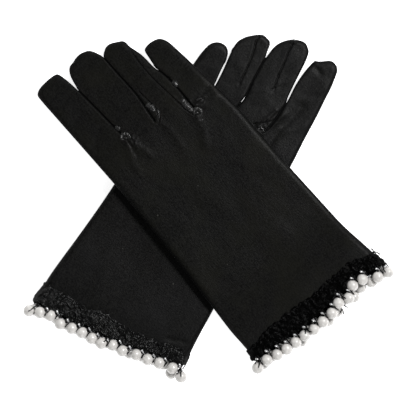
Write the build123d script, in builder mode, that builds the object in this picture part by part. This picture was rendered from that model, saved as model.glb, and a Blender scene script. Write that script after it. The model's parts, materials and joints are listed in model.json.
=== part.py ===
"""A pair of short black satin dress gloves with a gathered cuff frill and a pearl fringe, laid crossed.

Units are millimetres, +Z is up, and the pair lies on the plane Z = 0 with the origin under the middle of
its bounding box.  Each glove is drawn in its own flat frame, as a right-hand glove seen from the back of
the hand: X runs across it from the index side to the little-finger side, Y runs from the cuff seam towards
the fingertips, and Z is the height above the table.  The left glove is the mirror image of that drawing.
Both are then turned and moved into place, the right glove crossing over the left one.
"""

import math
import os
from types import SimpleNamespace

from build123d import *

# Cloth and trim.
FABRIC = 0.6  # thickness of the satin with its backing
SEAM_GAP = 0.3  # room left at a fold line, so that a folding fingertip clears the hand
FRILL_THICK = 1.6  # the gathered strip, pressed flat
FRILL_WIDE = 12.0  # how far the frill stands out past the cuff seam
HEM_DEEP = 5.0  # the turned hem inside the frill
HEM_THICK = 0.8
PEARL_D = 8.0
PEARL_HOLE_D = 1.0
SEED_BEAD_D = 1.6
SEED_BEAD_HOLE_D = 0.7
THREAD_D = 0.5
PEARL_PITCH = 8.15
PEARL_REACH = 6.9  # from the frill's edge to a pearl's centre
BEAD_REACH = 0.85  # from a thread's start to a seed bead's centre
FRINGE_GAP = 0.9  # from the frill's edge to the start of a thread, so that the seed beads swing clear of it

# The flat outline of a glove, without its cuff slant.
CUFF_HALF = 54.5
INDEX_SIDE = [(-53.6, 25), (-52.2, 60), (-51.6, 110), (-52.0, 145)]
LITTLE_SIDE = [(46.4, 146), (47.6, 120), (48.4, 75), (50.2, 30)]
CROTCH_INDEX_MIDDLE = 162.5
CROTCH_MIDDLE_RING = 162.0
CROTCH_RING_LITTLE = 146.0

# Each finger is a tapering strip with a rounded end: its two edges at the root and at the tip, how far it
# reaches from the cuff seam, and where its end folds over.
FINGERS = {
    "index": SimpleNamespace(root=(-52.0, -25.4), tip=(-52.2, -29.4), reach=228.5, fold=188.0),
    "middle": SimpleNamespace(root=(-24.6, -0.9), tip=(-25.2, -2.6), reach=229.0, fold=190.0),
    "ring": SimpleNamespace(root=(-0.1, 20.4), tip=(0.0, 17.8), reach=220.0, fold=184.0),
    "little": SimpleNamespace(root=(21.2, 46.2), tip=(22.6, 41.0), reach=201.5, fold=181.5),
}
ROOT_AT = 140.0  # where the strips' root widths are measured
TIP_ROUND = 0.40  # tip corner radius as a share of the finger's width

# The thumb is a tapering flat tube tucked under the palm, sewn round a hole in the palm.
THUMB_PIVOT = (-37.5, 92.0)
THUMB_ROOT_R = 13.0
THUMB_TIP_R = 10.0
THUMB_LONG = 50.0  # between the centres of its two round ends
THUMB_TURN = -32.0  # degrees from the finger direction, inwards under the palm
THUMB_THICK = 2.6
THUMB_HOLE_R = 9.0

# The cuff's mouth, the same on both gloves: they both rest on the table there.
MOUTH_LOW = 1.8
MOUTH_HIGH = 12.0
FRILL_HALF = CUFF_HALF + 0.2 + FRILL_THICK
FRILL_HIGH = MOUTH_HIGH + FRILL_THICK
PALM_ROW_Z = PEARL_D / 2  # the palm-side pearls lie on the table
BACK_ROW_Z = MOUTH_HIGH + 0.5

# Heights (Y, Z) of the underside of the palm and of the top of the back, from the cuff to the fingertips.
BEYOND = 231.0
RIGHT = SimpleNamespace(
    name="right",
    under=[(-10, MOUTH_LOW), (5, MOUTH_LOW), (38, 13.0), (160, 13.0), (BEYOND, 0.8)],
    over=[(-10, MOUTH_HIGH), (5, MOUTH_HIGH), (38, 19.0), (150, 19.0), (160, 18.0), (BEYOND, 5.4)],
    thumb_low=10.1,
    slant=-2.4,  # degrees that the cuff seam is turned from square
    origin=(67.6, -61.8),
    turn=40.1,
)
LEFT = SimpleNamespace(
    name="left",
    under=[(-10, MOUTH_LOW), (5, MOUTH_LOW), (40, 3.6), (160, 3.6), (BEYOND, 0.2)],
    over=[(-10, MOUTH_HIGH), (5, MOUTH_HIGH), (50, 9.6), (150, 9.6), (160, 8.6), (BEYOND, 4.8)],
    thumb_low=0.6,
    slant=-5.0,
    origin=(-63.5, -77.2),
    turn=-28.8,
)
TALL = 40.0  # taller and wider than any glove: the size of cutting blocks
BROAD = 160.0


def outline(glove, inset=0.0):
    """The whole glove's flat outline, drawn in by inset all round except at the open cuff."""
    drop = math.tan(math.radians(glove.slant)) * CUFF_HALF
    with BuildSketch() as flat:
        with BuildLine():
            Polyline(
                (-CUFF_HALF + inset, -drop),
                *[(x + inset, y) for x, y in INDEX_SIDE],
                (FINGERS["index"].root[0] + inset, CROTCH_INDEX_MIDDLE - inset),
                (FINGERS["index"].root[1] + 0.4, CROTCH_INDEX_MIDDLE - inset),
                (FINGERS["middle"].root[1] + 0.4, CROTCH_MIDDLE_RING - inset),
                (FINGERS["ring"].root[1] + 0.4, CROTCH_RING_LITTLE - inset),
                *[(x - inset, y - (inset if y > CROTCH_RING_LITTLE - 1 else 0)) for x, y in LITTLE_SIDE],
                (CUFF_HALF - inset, drop),
                close=True,
            )
        make_face()
        for finger in FINGERS.values():
            left, right = finger.root[0] + inset, finger.root[1] - inset
            tip_left, tip_right = finger.tip[0] + inset, finger.tip[1] - inset
            with BuildSketch(mode=Mode.PRIVATE) as strip:
                with BuildLine():
                    Polyline(
                        (left, ROOT_AT),
                        (tip_left, finger.reach - inset),
                        (tip_right, finger.reach - inset),
                        (right, ROOT_AT),
                        close=True,
                    )
                make_face()
                tips = strip.vertices().group_by(Axis.Y)[-1]
                fillet(tips, TIP_ROUND * (finger.tip[1] - finger.tip[0]) - inset)
            add(strip.sketch)
    return flat.sketch


def beyond_fold(finger, start):
    """The part of the plane that belongs to a finger from a line across it to past its tip."""
    margin = 0.35
    lean = [(tip - root) / (finger.reach - ROOT_AT) for root, tip in zip(finger.root, finger.tip)]
    edges = [(root - margin, root + margin)[side] for side, root in enumerate(finger.root)]
    left, right = [edge + slope * (start - ROOT_AT) for edge, slope in zip(edges, lean)]
    end_left, end_right = [edge + slope * (BEYOND - ROOT_AT) for edge, slope in zip(edges, lean)]
    with BuildSketch() as zone:
        with BuildLine():
            Polyline((left, start), (end_left, BEYOND), (end_right, BEYOND), (right, start), close=True)
        make_face()
    return zone.sketch


def side_strip(low, high):
    """A closed side profile between two height lines, seen along the width of the glove."""
    with BuildSketch(Plane.YZ.offset(-BROAD / 2)) as profile:
        with BuildLine():
            Polyline(*low, *reversed(high), close=True)
        make_face()
    return profile.sketch


def raised(line, by):
    return [(y, z + by) for y, z in line]


def sheet(plan, profile):
    """A flat pattern given the height and bend of a side profile."""
    with BuildPart() as piece:
        add(profile)
        extrude(amount=BROAD, dir=(1, 0, 0))
        with BuildSketch():
            add(plan)
        extrude(amount=TALL, dir=(0, 0, 1), mode=Mode.INTERSECT)
    return piece.part


def fabric_layers(glove):
    """The side profiles of the back, of the palm and of the walls between them."""
    back = side_strip(raised(glove.over, -FABRIC), glove.over)
    palm = side_strip(glove.under, raised(glove.under, FABRIC))
    walls = side_strip(raised(glove.under, FABRIC), raised(glove.over, -FABRIC))
    return back, palm, walls


def clipped(plan, zone, mode):
    with BuildSketch() as cut:
        add(plan)
        add(zone, mode=mode)
    return cut.sketch


def box_zone(x_low, x_high, y_low, y_high):
    with BuildSketch() as zone:
        with Locations(((x_low + x_high) / 2, (y_low + y_high) / 2)):
            Rectangle(x_high - x_low, y_high - y_low)
    return zone.sketch


def hand_pieces(glove):
    """The hand of the glove: back, palm with its thumb hole, two outer seams and three fourchettes."""
    back, palm, walls = fabric_layers(glove)
    plan = outline(glove)
    for finger in FINGERS.values():
        plan = clipped(plan, beyond_fold(finger, finger.fold), Mode.SUBTRACT)
    rim = clipped(plan, outline(glove, FABRIC), Mode.SUBTRACT)
    with BuildSketch() as thumb_hole:
        with Locations(THUMB_PIVOT):
            Circle(THUMB_HOLE_R)
    pieces = {
        "hand_back": sheet(plan, back),
        "hand_palm": sheet(clipped(plan, thumb_hole.sketch, Mode.SUBTRACT), palm),
        "index_side_seam": sheet(clipped(rim, box_zone(-70, -45, -20, 240), Mode.INTERSECT), walls),
        "little_side_seam": sheet(clipped(rim, box_zone(34, 70, -20, 240), Mode.INTERSECT), walls),
    }
    between = [("index", "middle"), ("middle", "ring"), ("ring", "little")]
    for first, second in between:
        middles = [sum(FINGERS[name].root) / 2 for name in (first, second)]
        zone = box_zone(*middles, ROOT_AT, 240)
        pieces[f"{first}_{second}_fourchette"] = sheet(clipped(rim, zone, Mode.INTERSECT), walls)
    return pieces


def fingertip_pieces(glove, name):
    """A finger beyond its fold line: back, palm and the wall that runs round its end."""
    back, palm, walls = fabric_layers(glove)
    zone = beyond_fold(FINGERS[name], FINGERS[name].fold + SEAM_GAP)
    plan = clipped(outline(glove), zone, Mode.INTERSECT)
    rim = clipped(plan, outline(glove, FABRIC), Mode.SUBTRACT)
    return {
        f"{name}_tip_back": sheet(plan, back),
        f"{name}_tip_palm": sheet(plan, palm),
        f"{name}_tip_side": sheet(rim, walls),
    }


def thumb_piece(glove):
    """The flat thumb tube, open into the hand through the round hole over its root."""
    place = Plane(Location((*THUMB_PIVOT, glove.thumb_low), (0, 0, THUMB_TURN)))
    with BuildPart() as thumb:
        for inset, mode in ((0.0, Mode.ADD), (FABRIC, Mode.SUBTRACT)):
            with BuildSketch(place.offset(inset)) as tube:
                Circle(THUMB_ROOT_R - inset)
                with Locations((0, THUMB_LONG)):
                    Circle(THUMB_TIP_R - inset)
                make_hull()
            extrude(amount=THUMB_THICK - 2 * inset, mode=mode)
        with BuildSketch(place.offset(THUMB_THICK / 2)):
            Circle(THUMB_HOLE_R)
        extrude(amount=THUMB_THICK, mode=Mode.SUBTRACT)
    return thumb.part


def cuff_ring(half_wide, low, high, wall, deep):
    """A flat ring round the mouth of the cuff, standing out from the cuff seam."""
    with BuildPart() as ring:
        with BuildSketch(Plane.XZ):
            with Locations((0, (low + high) / 2)):
                RectangleRounded(2 * half_wide, high - low, 3.0)
                RectangleRounded(2 * (half_wide - wall), high - low - 2 * wall, 3.0 - wall, mode=Mode.SUBTRACT)
        extrude(amount=deep)
    return ring.part


def pearl_places(side):
    """Where each pearl hangs, as (point on the frill's edge, pearl centre), in the cuff's own frame."""
    count = 15 if side == "back" else 14
    edge_z = MOUTH_HIGH + 0.5 if side == "back" else FRILL_THICK / 2
    row_z = BACK_ROW_Z if side == "back" else PALM_ROW_Z
    places = []
    for i in range(count):
        x = (i - (count - 1) / 2) * PEARL_PITCH
        pushed = 0.0 if side == "back" else -0.9
        wander = 0.3 * math.sin(2.3 * i + 0.7)
        edge = Vector(x, -FRILL_WIDE - FRINGE_GAP, edge_z)
        places.append((edge, Vector(x, -FRILL_WIDE - PEARL_REACH + pushed + wander, row_z)))
    return places


def along(start, end):
    """A plane at start whose Z points at end."""
    return Plane(origin=start, x_dir=(1, 0, 0), z_dir=end - start)


def fringe_pieces(side):
    """One row of the fringe: pearls, the seed beads above them, and the threads that carry both."""
    places = pearl_places(side)
    with BuildPart() as pearls:
        for edge, centre in places:
            line = along(centre, centre + (centre - edge))
            with BuildSketch(Plane(line.origin, x_dir=line.z_dir, z_dir=line.x_dir)):
                Circle(PEARL_D / 2)
                Rectangle(PEARL_D * 2, PEARL_D, align=(Align.CENTER, Align.MAX), mode=Mode.SUBTRACT)
                Rectangle(PEARL_D * 2, PEARL_HOLE_D, mode=Mode.SUBTRACT)
            revolve(axis=Axis(line.origin, line.z_dir))
    with BuildPart() as beads:
        for edge, centre in places:
            line = along(edge + (centre - edge).normalized() * BEAD_REACH, centre)
            with BuildSketch(Plane(line.origin, x_dir=line.z_dir, z_dir=line.x_dir)):
                Circle(SEED_BEAD_D / 2)
                Rectangle(SEED_BEAD_D * 2, SEED_BEAD_D, align=(Align.CENTER, Align.MAX), mode=Mode.SUBTRACT)
                Rectangle(SEED_BEAD_D * 2, SEED_BEAD_HOLE_D, mode=Mode.SUBTRACT)
            revolve(axis=Axis(line.origin, line.z_dir))
    with BuildPart() as threads:
        for edge, centre in places:
            with BuildSketch(along(edge, centre)):
                Circle(THREAD_D / 2)
            extrude(amount=(centre - edge).length)
    return {
        f"{side}_pearls": pearls.part,
        f"{side}_seed_beads": beads.part,
        f"{side}_threads": threads.part,
    }


def cuff_pieces(glove):
    """The frill, the turned hem inside it and both rows of the fringe, on the slanted cuff seam."""
    pieces = {
        "frill": cuff_ring(FRILL_HALF, 0, FRILL_HIGH, FRILL_THICK, FRILL_WIDE),
        "hem": cuff_ring(CUFF_HALF + 0.2, FRILL_THICK, MOUTH_HIGH, HEM_THICK, HEM_DEEP),
    }
    for side in ("back", "palm"):
        pieces |= fringe_pieces(side)
    slanted = Location((0, 0, 0), (0, 0, glove.slant))
    return {name: piece.moved(slanted) for name, piece in pieces.items()}


def glove_pieces(glove):
    """Every piece of one glove, in the glove's own flat frame."""
    pieces = hand_pieces(glove)
    for name in FINGERS:
        pieces |= fingertip_pieces(glove, name)
    pieces["thumb"] = thumb_piece(glove)
    pieces |= cuff_pieces(glove)
    return pieces


def placed(glove, pieces):
    """The pieces mirrored if they are a left glove's, then turned and moved into the pair."""
    if glove is LEFT:
        pieces = {name: piece.mirror(Plane.YZ) for name, piece in pieces.items()}
    spot = Location((*glove.origin, 0), (0, 0, glove.turn))
    return {f"{glove.name}_{name}": piece.moved(spot) for name, piece in pieces.items()}


def main():
    os.makedirs("parts", exist_ok=True)
    pair = placed(RIGHT, glove_pieces(RIGHT)) | placed(LEFT, glove_pieces(LEFT))
    box = Compound(children=[Compound(piece.solids()) for piece in pair.values()]).bounding_box()
    centre = box.center()
    print("shift", -centre.X, -centre.Y, "size", box.size)
    for name, piece in pair.items():
        part = Part(Compound(piece.moved(Location((-centre.X, -centre.Y, 0))).solids()).wrapped)
        part.label = name
        export_step(part, f"parts/{name}.step")


main()
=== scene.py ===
"""Short black satin dress gloves with gathered cuffs and pearl fringes, laid crossed on a pale table."""

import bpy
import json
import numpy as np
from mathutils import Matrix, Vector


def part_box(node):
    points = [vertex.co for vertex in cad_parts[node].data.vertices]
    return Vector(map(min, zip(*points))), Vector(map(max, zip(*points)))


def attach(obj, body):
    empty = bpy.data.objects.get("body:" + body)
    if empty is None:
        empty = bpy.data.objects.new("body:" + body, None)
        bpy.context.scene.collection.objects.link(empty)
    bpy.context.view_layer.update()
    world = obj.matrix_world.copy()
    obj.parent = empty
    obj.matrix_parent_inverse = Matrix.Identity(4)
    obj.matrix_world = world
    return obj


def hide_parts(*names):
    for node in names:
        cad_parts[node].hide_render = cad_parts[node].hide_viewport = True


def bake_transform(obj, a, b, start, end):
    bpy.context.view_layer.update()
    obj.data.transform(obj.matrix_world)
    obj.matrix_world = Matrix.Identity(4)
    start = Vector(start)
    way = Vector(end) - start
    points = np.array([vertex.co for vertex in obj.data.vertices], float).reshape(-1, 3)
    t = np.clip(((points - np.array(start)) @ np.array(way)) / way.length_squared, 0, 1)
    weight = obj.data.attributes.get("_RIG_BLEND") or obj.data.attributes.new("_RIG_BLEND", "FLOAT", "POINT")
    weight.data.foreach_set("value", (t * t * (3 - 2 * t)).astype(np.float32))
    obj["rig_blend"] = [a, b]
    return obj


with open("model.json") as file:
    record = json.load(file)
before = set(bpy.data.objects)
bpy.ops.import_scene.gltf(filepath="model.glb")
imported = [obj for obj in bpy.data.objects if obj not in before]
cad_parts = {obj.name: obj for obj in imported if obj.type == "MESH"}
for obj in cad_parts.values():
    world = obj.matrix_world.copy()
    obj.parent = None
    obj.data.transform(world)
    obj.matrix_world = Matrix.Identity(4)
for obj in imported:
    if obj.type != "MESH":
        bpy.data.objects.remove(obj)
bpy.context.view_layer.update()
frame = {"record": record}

import json
import math
from types import SimpleNamespace

import bpy
import numpy as np
from mathutils import Vector, noise
from mathutils.geometry import delaunay_2d_cdt

MM = 0.001

# ---------------------------------------------------------------- camera

VIEW_WIDE = 0.28704  # metres of table across the view
VIEW_HIGH = 2.0
SENSOR = 36.0
camera_data = bpy.data.cameras.new("overhead")
camera_data.sensor_width = SENSOR
camera_data.lens = SENSOR * VIEW_HIGH / VIEW_WIDE
camera_data.clip_start, camera_data.clip_end = 0.05, 20.0
camera = bpy.data.objects.new("overhead", camera_data)
camera.location = (-0.0008, -0.0005, VIEW_HIGH)
bpy.context.collection.objects.link(camera)
bpy.context.scene.camera = camera

# ---------------------------------------------------------------- the two gloves, as drawn flat

# Each glove is drawn in millimetres as a right-hand glove seen from the back of the hand: x runs from the
# index side to the little-finger side, y from the cuff to the fingertips.  The left glove is mirrored.
RIGHT = SimpleNamespace(
    name="right",
    side=1,
    origin=(69.25, -64.49),
    turn=math.radians(40.06),
    lift=3.3,  # how much further along y this drawing starts than the frame's own
    # heights of the skin's underside and top, as z at each y
    under=[(-20, 1.8), (5, 1.8), (38, 13.0), (160, 13.0), (231, 0.8)],
    over=[(-20, 11.4), (5, 12.0), (38, 19.0), (150, 19.0), (160, 18.0), (231, 5.4)],
    folds={"index": 188.0, "middle": 190.0, "ring": 184.0, "little": 181.5},
    outline=[
        (-54.6, 0.4), (-54.7, 8), (-54.9, 20), (-54.0, 37), (-52.4, 67), (-51.6, 94), (-50.9, 122),
        (-51.0, 148), (-51.8, 184), (-52.6, 214), (-52.8, 222), (-52.7, 227.3), (-52.1, 229.3),
        (-49.8, 231.0), (-45.6, 232.1), (-38.9, 232.5), (-33.9, 232.0), (-32.3, 231.1), (-31.1, 228.2),
        (-29.9, 222), (-29.0, 215.5), (-28.62, 211.5), (-27.98, 204), (-27.08, 193.5), (-26.28, 181),
        (-25.48, 173), (-24.9, 166.5), (-25.32, 173), (-26.12, 181), (-26.92, 193.5), (-27.82, 204),
        (-28.42, 211.5), (-28.1, 216.5), (-26.8, 223.3), (-24.9, 227.6), (-22.4, 229.9), (-18.6, 230.7),
        (-15.6, 231.7), (-11.5, 232.0), (-6.9, 230.6), (-4.4, 228.6), (-2.3, 224.6), (-0.85, 219.6),
        (-0.68, 208), (-0.28, 196), (0.02, 187), (-0.68, 176), (-1.58, 168), (-2.0, 162.5), (-1.42, 168),
        (-0.52, 176), (0.18, 187), (-0.12, 196), (-0.52, 208), (-0.5, 218.6), (0.6, 221.2), (2.3, 222.5),
        (5.0, 224.0), (7.9, 224.2), (10.6, 223.2), (13.8, 221.5), (16.5, 219.8), (17.6, 217.6), (17.8, 214.0),
        (18.9, 210.0), (20.2, 205), (20.9, 199.6), (21.3, 193), (21.9, 189.3), (22.62, 187), (23.92, 180),
        (24.42, 170), (24.12, 158), (23.8, 148.5), (24.28, 158), (24.58, 170), (24.08, 180), (22.78, 187),
        (22.15, 190.0), (22.3, 194), (22.9, 199.2), (23.4, 203.2), (24.3, 205.3), (26.9, 206.4),
        (30.8, 206.6), (34.7, 205.7), (37.3, 204.3), (39.4, 201.2), (40.5, 197.3), (41.3, 191.5),
        (42.3, 183.8), (43.0, 176.6), (44.6, 160), (46.4, 144), (47.5, 130), (47.6, 110), (48.4, 79),
        (49.2, 58.5), (50.6, 28), (53.3, 8), (54.4, 0), (54.6, -4.2),
    ],
    # where one finger ends and the next begins, as x at each y
    slots=[
        [
            (166.5, -24.9), (173, -25.4), (181, -26.2), (193.5, -27.0), (204, -27.9), (211.5, -28.5),
            (235, -28.5),
        ],
        [(162.5, -2.0), (168, -1.5), (176, -0.6), (187, 0.1), (196, -0.2), (208, -0.6), (235, -0.6)],
        [
            (148.5, 23.8), (158, 24.2), (170, 24.5), (180, 24.0), (187, 22.7), (190, 22.0), (200, 21.9),
            (235, 21.5),
        ],
    ],
    # seams that show on the back of the hand
    seams=[
        [(2.6, 184), (3.4, 175), (3.3, 167), (0.6, 161.5), (-1.6, 160)],
        [(17.2, 214), (15.9, 206), (15.4, 190), (16.8, 175), (18.9, 158), (21.5, 148)],
    ],
)
LEFT = SimpleNamespace(
    name="left",
    side=-1,
    origin=(-62.05, -73.89),
    turn=math.radians(-28.77),
    lift=-4.0,
    under=[(-20, 1.8), (5, 1.8), (40, 3.6), (160, 3.6), (231, 0.2)],
    over=[(-20, 11.4), (5, 12.0), (50, 9.6), (150, 9.6), (160, 8.6), (231, 4.8)],
    folds={"index": 188.0, "middle": 190.0, "ring": 184.0, "little": 181.5},
    outline=[
        (-55.7, -3.0), (-55.6, 4), (-55.3, 14), (-55.2, 35), (-55.0, 70), (-54.7, 110), (-54.5, 145),
        (-53.9, 166), (-53.7, 185), (-53.2, 196.3), (-52.8, 207.6), (-52.1, 213.5), (-51.4, 218.3),
        (-50.2, 221.0), (-48.3, 222.6), (-45.6, 223.5), (-42.9, 223.1), (-39.7, 221.0), (-36.5, 219.0),
        (-34.2, 218.2), (-33.5, 216.7), (-32.5, 213.1), (-31.1, 205.1), (-30.5, 196), (-30.8, 187.5),
        (-30.75, 182), (-30.28, 175.1), (-29.48, 168.8), (-28.48, 162.5), (-26.0, 157.4), (-28.32, 162.5),
        (-29.32, 168.8), (-30.12, 175.1), (-30.5, 182), (-29.9, 188), (-29.5, 194), (-29.3, 200.5),
        (-29.0, 209), (-28.6, 216), (-27.6, 221.2), (-25.8, 223.5), (-23.7, 225.2), (-21.3, 225.9),
        (-17.9, 225.4), (-14.3, 224.1), (-10.6, 221.5), (-7.0, 217.4), (-5.0, 213.1), (-4.1, 208.3),
        (-3.5, 202.9), (-3.38, 195.5), (-3.48, 185), (-4.28, 175), (-2.78, 165), (-1.6, 161.5), (-2.62, 165),
        (-4.12, 175), (-3.32, 185), (-3.22, 195.5), (-3.2, 202.9), (-2.4, 207.6), (-1.9, 211.8),
        (-0.9, 214.4), (1.3, 215.7), (5.2, 216.6), (7.9, 215.7), (12.0, 212.8), (15.8, 209.3), (18.7, 204.6),
        (19.5, 199), (19.3, 193.2), (18.6, 186.5), (18.1, 178.9), (17.9, 170), (18.1, 150), (18.5, 170),
        (19.2, 178.8), (19.6, 186), (20.0, 190.8), (21.3, 194.7), (24.0, 197.3), (28.3, 197.9), (32.3, 196.2),
        (35.1, 192.9), (36.8, 186.6), (37.8, 179.5), (38.5, 172), (40.0, 155), (42.3, 132), (44.6, 103),
        (46.1, 76), (47.8, 57), (50.4, 34.7), (53.4, 12), (54.7, 0), (55.1, -10.5),
    ],
    slots=[
        [
            (157.4, -26.0), (162.5, -28.4), (168.8, -29.4), (175, -30.2), (182, -30.6), (192, -30.2),
            (205, -30.2), (235, -31.0),
        ],
        [(161.5, -1.6), (165, -2.7), (175, -4.2), (185, -3.4), (202, -3.35), (235, -3.35)],
        [(150, 18.1), (170, 18.2), (179, 18.65), (190, 19.7), (235, 20.0)],
    ],
    seams=[
        [(7.7, 214.5), (7.8, 209), (5.9, 202.8), (4.4, 190), (3.9, 180)],
        [(-14.3, 223.2), (-15.1, 219.4), (-15.3, 213), (-16.3, 206), (-17.2, 196), (-18.6, 188)],
    ],
)
GLOVES = (RIGHT, LEFT)
FINGERS = ("index", "middle", "ring", "little")


def to_table(glove, xy, z):
    """Points of a glove's flat drawing, with their heights, placed on the table in metres."""
    x, y = xy[:, 0] * glove.side, xy[:, 1]
    c, s = math.cos(glove.turn), math.sin(glove.turn)
    return np.column_stack([glove.origin[0] + x * c - y * s, glove.origin[1] + x * s + y * c, z]) * MM


def level(line, y, reach=9, count=9):
    """The height of a bent line at y, with its bends rounded off over a reach to each side."""
    ys, zs = zip(*line)
    return sum(np.interp(y + d, ys, zs) for d in np.linspace(-reach, reach, count)) / count


def resample(points, step):
    """A smooth line through points, in even steps."""
    p = np.array(points, float)
    p = np.vstack([2 * p[0] - p[1], p, 2 * p[-1] - p[-2]])
    fine = []
    for a, b, c, d in zip(p, p[1:], p[2:], p[3:]):
        t = np.linspace(0, 1, 24, endpoint=False)[:, None]
        square, cube = 2 * a - 5 * b + 4 * c - d, 3 * b - a - 3 * c + d
        fine.append(0.5 * (2 * b + (c - a) * t + square * t**2 + cube * t**3))
    fine = np.vstack(fine + [p[-2:-1]])
    run = np.r_[0, np.cumsum(np.linalg.norm(np.diff(fine, axis=0), axis=1))]
    at = np.linspace(0, run[-1], max(2, round(run[-1] / step)))
    return np.column_stack([np.interp(at, run, fine[:, k]) for k in range(2)])


def drawn_y(line, x):
    """The y of a smooth line at each x."""
    return np.interp(x, *resample(line, 1.0).T)


def right_of(run):
    """Unit directions to the right of a line that runs along run."""
    return np.column_stack([run[:, 1], -run[:, 0]]) / np.linalg.norm(run, axis=1)[:, None]


def distance_to(points, line, batch=4000):
    """How far each point is from a line of straight runs, and which run is nearest."""
    a, b = line[:-1], line[1:]
    ab = b - a
    best, which = np.zeros(len(points)), np.zeros(len(points), int)
    for k in range(0, len(points), batch):
        p = points[k : k + batch, None]
        t = np.clip(((p - a) * ab).sum(2) / (ab**2).sum(1), 0, 1)
        gap = np.linalg.norm(p - (a + ab * t[..., None]), axis=2)
        which[k : k + batch] = gap.argmin(1)
        best[k : k + batch] = gap.min(1)
    return best, which


def fresh_mesh(name, verts, faces, material=None):
    """A new object in the scene from points in metres and lists of corners."""
    mesh = bpy.data.meshes.new(name)
    mesh.from_pydata(np.asarray(verts, float).tolist(), [], [list(map(int, f)) for f in faces])
    mesh.update()
    obj = bpy.data.objects.new(name, mesh)
    bpy.context.collection.objects.link(obj)
    for p in mesh.polygons:
        p.use_smooth = True
    if material:
        mesh.materials.append(material)
    return obj


# ---------------------------------------------------------------- glove shells

EDGE_STEPS = (0.3, 0.8, 1.6, 2.8)  # rows of points inside the outline that carry its rounded edge
SEAM_STEPS = (-1.0, -0.45, 0.0, 0.45, 1.0)  # rows of points beside each seam's line
OUTLINE_STEP, MOUTH_STEP, SEAM_STEP = 1.2, 1.6, 0.9
GRID, FINE_GRID = 1.5, 0.62
CLEAR = 0.7  # how near a free point may be to the outline
ON_EDGE = 1e-3  # a point nearer than this is on the outline
SIDE_DEEP = 1.6  # how far in the side strips and fourchettes reach
SLOT_SHUT, SLOT_LAP = 0.25, 0.07  # edges nearer than the first to a slot's line close, and lap by the second
EDGE_SOFT, SLOT_SOFT = 3.4, 1.2  # how far in the rounding of an edge reaches, on its own and in a slot


def grid_points(low, high, step):
    """Points in staggered rows over a rectangle."""
    rows = np.arange(low[1], high[1], step * 0.866)
    cols = np.arange(low[0], high[0], step)
    return np.array([(x + (k % 2) * step / 2, y) for k, y in enumerate(rows) for x in cols])


def rounded(share):
    """The height of a quarter circle, from 0 at its foot to 1 where share reaches 1."""
    return np.sqrt(np.clip(1 - (1 - np.clip(share, 0, 1)) ** 2, 0, 1))


def wave(xy, z, scale, seed):
    """Soft random ups and downs, from -1 to 1, that repeat at about the scale in x and y."""
    return np.array([noise.noise(Vector((x / scale[0], y / scale[1], z + seed))) for x, y in xy])


def across_fold(xy, line, width, depth):
    """A soft crease along a line."""
    gap, _ = distance_to(xy, np.array(line, float))
    return depth * np.exp(-((gap / width) ** 2))


def gather(xy, at, turn, long, wide, high, seed):
    """A pinched lens of cloth with small ridges along it, where a finger seam ends."""
    c, s = math.cos(turn), math.sin(turn)
    p = (xy[:, 0] - at[0]) * c + (xy[:, 1] - at[1]) * s
    q = -(xy[:, 0] - at[0]) * s + (xy[:, 1] - at[1]) * c
    inside = np.clip(1 - (p / long) ** 2 - (q / wide) ** 2, 0, 1)
    ridges = np.cos(2.3 * q + 0.9 * np.sin(0.9 * p + seed)) * 0.4 + np.sin(1.5 * p + 1.2 * q + seed) * 0.3
    return high * inside * (0.6 + ridges)


def knot(xy, at, radius, high):
    """A small rounded lump of gathered cloth."""
    r = np.hypot(xy[:, 0] - at[0], xy[:, 1] - at[1]) / radius
    return high * np.sqrt(np.clip(1 - r**2, 0, 1))


# Creases as (line, width, height), gathers as (shape, place and sizes), and where the cloth is modelled finely.
RIGHT.creases = [
    ([(-24.9, 166), (-25.6, 160), (-26.4, 152)], 0.7, -0.45),
    ([(-24.9, 166), (-21, 156), (-19, 146)], 2.2, 0.35),
    ([(-26, 164), (-31, 154), (-33, 142)], 2.6, 0.3),
    ([(0.6, 161), (2, 150), (1, 138)], 2.4, 0.25),
    ([(22, 148), (20, 138), (14, 128)], 2.6, 0.3),
    ([(27, 152), (33, 148), (41, 149)], 2.2, 0.4),
    ([(27, 157), (34, 156), (43, 158)], 1.8, -0.3),
    ([(-45, 176), (-36, 181), (-28, 178)], 3.0, -0.25),
]
RIGHT.gathers = [
    (gather, (30, 153.5), 0.1, 8.0, 3.4, 0.6, 1.3),
    (gather, (-22, 160), 1.2, 7.0, 3.2, 0.5, 0.7),
]
RIGHT.fine_spots = [((-24, 170), 11), ((1, 170), 12), ((22, 157), 13), ((24, 176), 5)]
LEFT.creases = [
    ([(-37, 1.5), (-43, 3.5), (-49, 5.5)], 1.1, -0.5),
    ([(-30, 178), (-27.6, 169), (-24.6, 158)], 0.8, -0.5),
    ([(-33, 176), (-30.5, 166), (-26.5, 157)], 1.5, 0.6),
    ([(-27, 175), (-24.5, 168), (-21.5, 160)], 1.3, 0.45),
    ([(-42, 186), (-38, 174), (-35, 160), (-34, 150)], 2.8, -0.6),
    ([(-18.7, 159.3), (-24.8, 164.1), (-30.5, 169.4)], 0.8, -0.7),
    ([(-18.5, 185.9), (-23.4, 192.9)], 0.8, -0.6),
    ([(-17.0, 196.6), (-19.9, 203.2), (-23.0, 209.3)], 0.8, -0.45),
    ([(-33.0, 214.8), (-37, 214), (-41.6, 212.3)], 1.4, -0.6),
    ([(-50, 176), (-43, 168), (-37, 165)], 2.4, 0.3),
    ([(-4, 172), (-8, 180), (-14, 184)], 2.0, 0.25),
]
LEFT.gathers = [
    (gather, (-26.6, 165.5), 1.92, 9.0, 2.4, 0.6, 0.9),
    (knot, (-16.0, 222.6), 1.4, 0.7),
    (knot, (-13.9, 222.0), 1.3, 0.6),
]
LEFT.fine_spots = [((-25, 163), 13), ((-15, 221), 6)]


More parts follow.
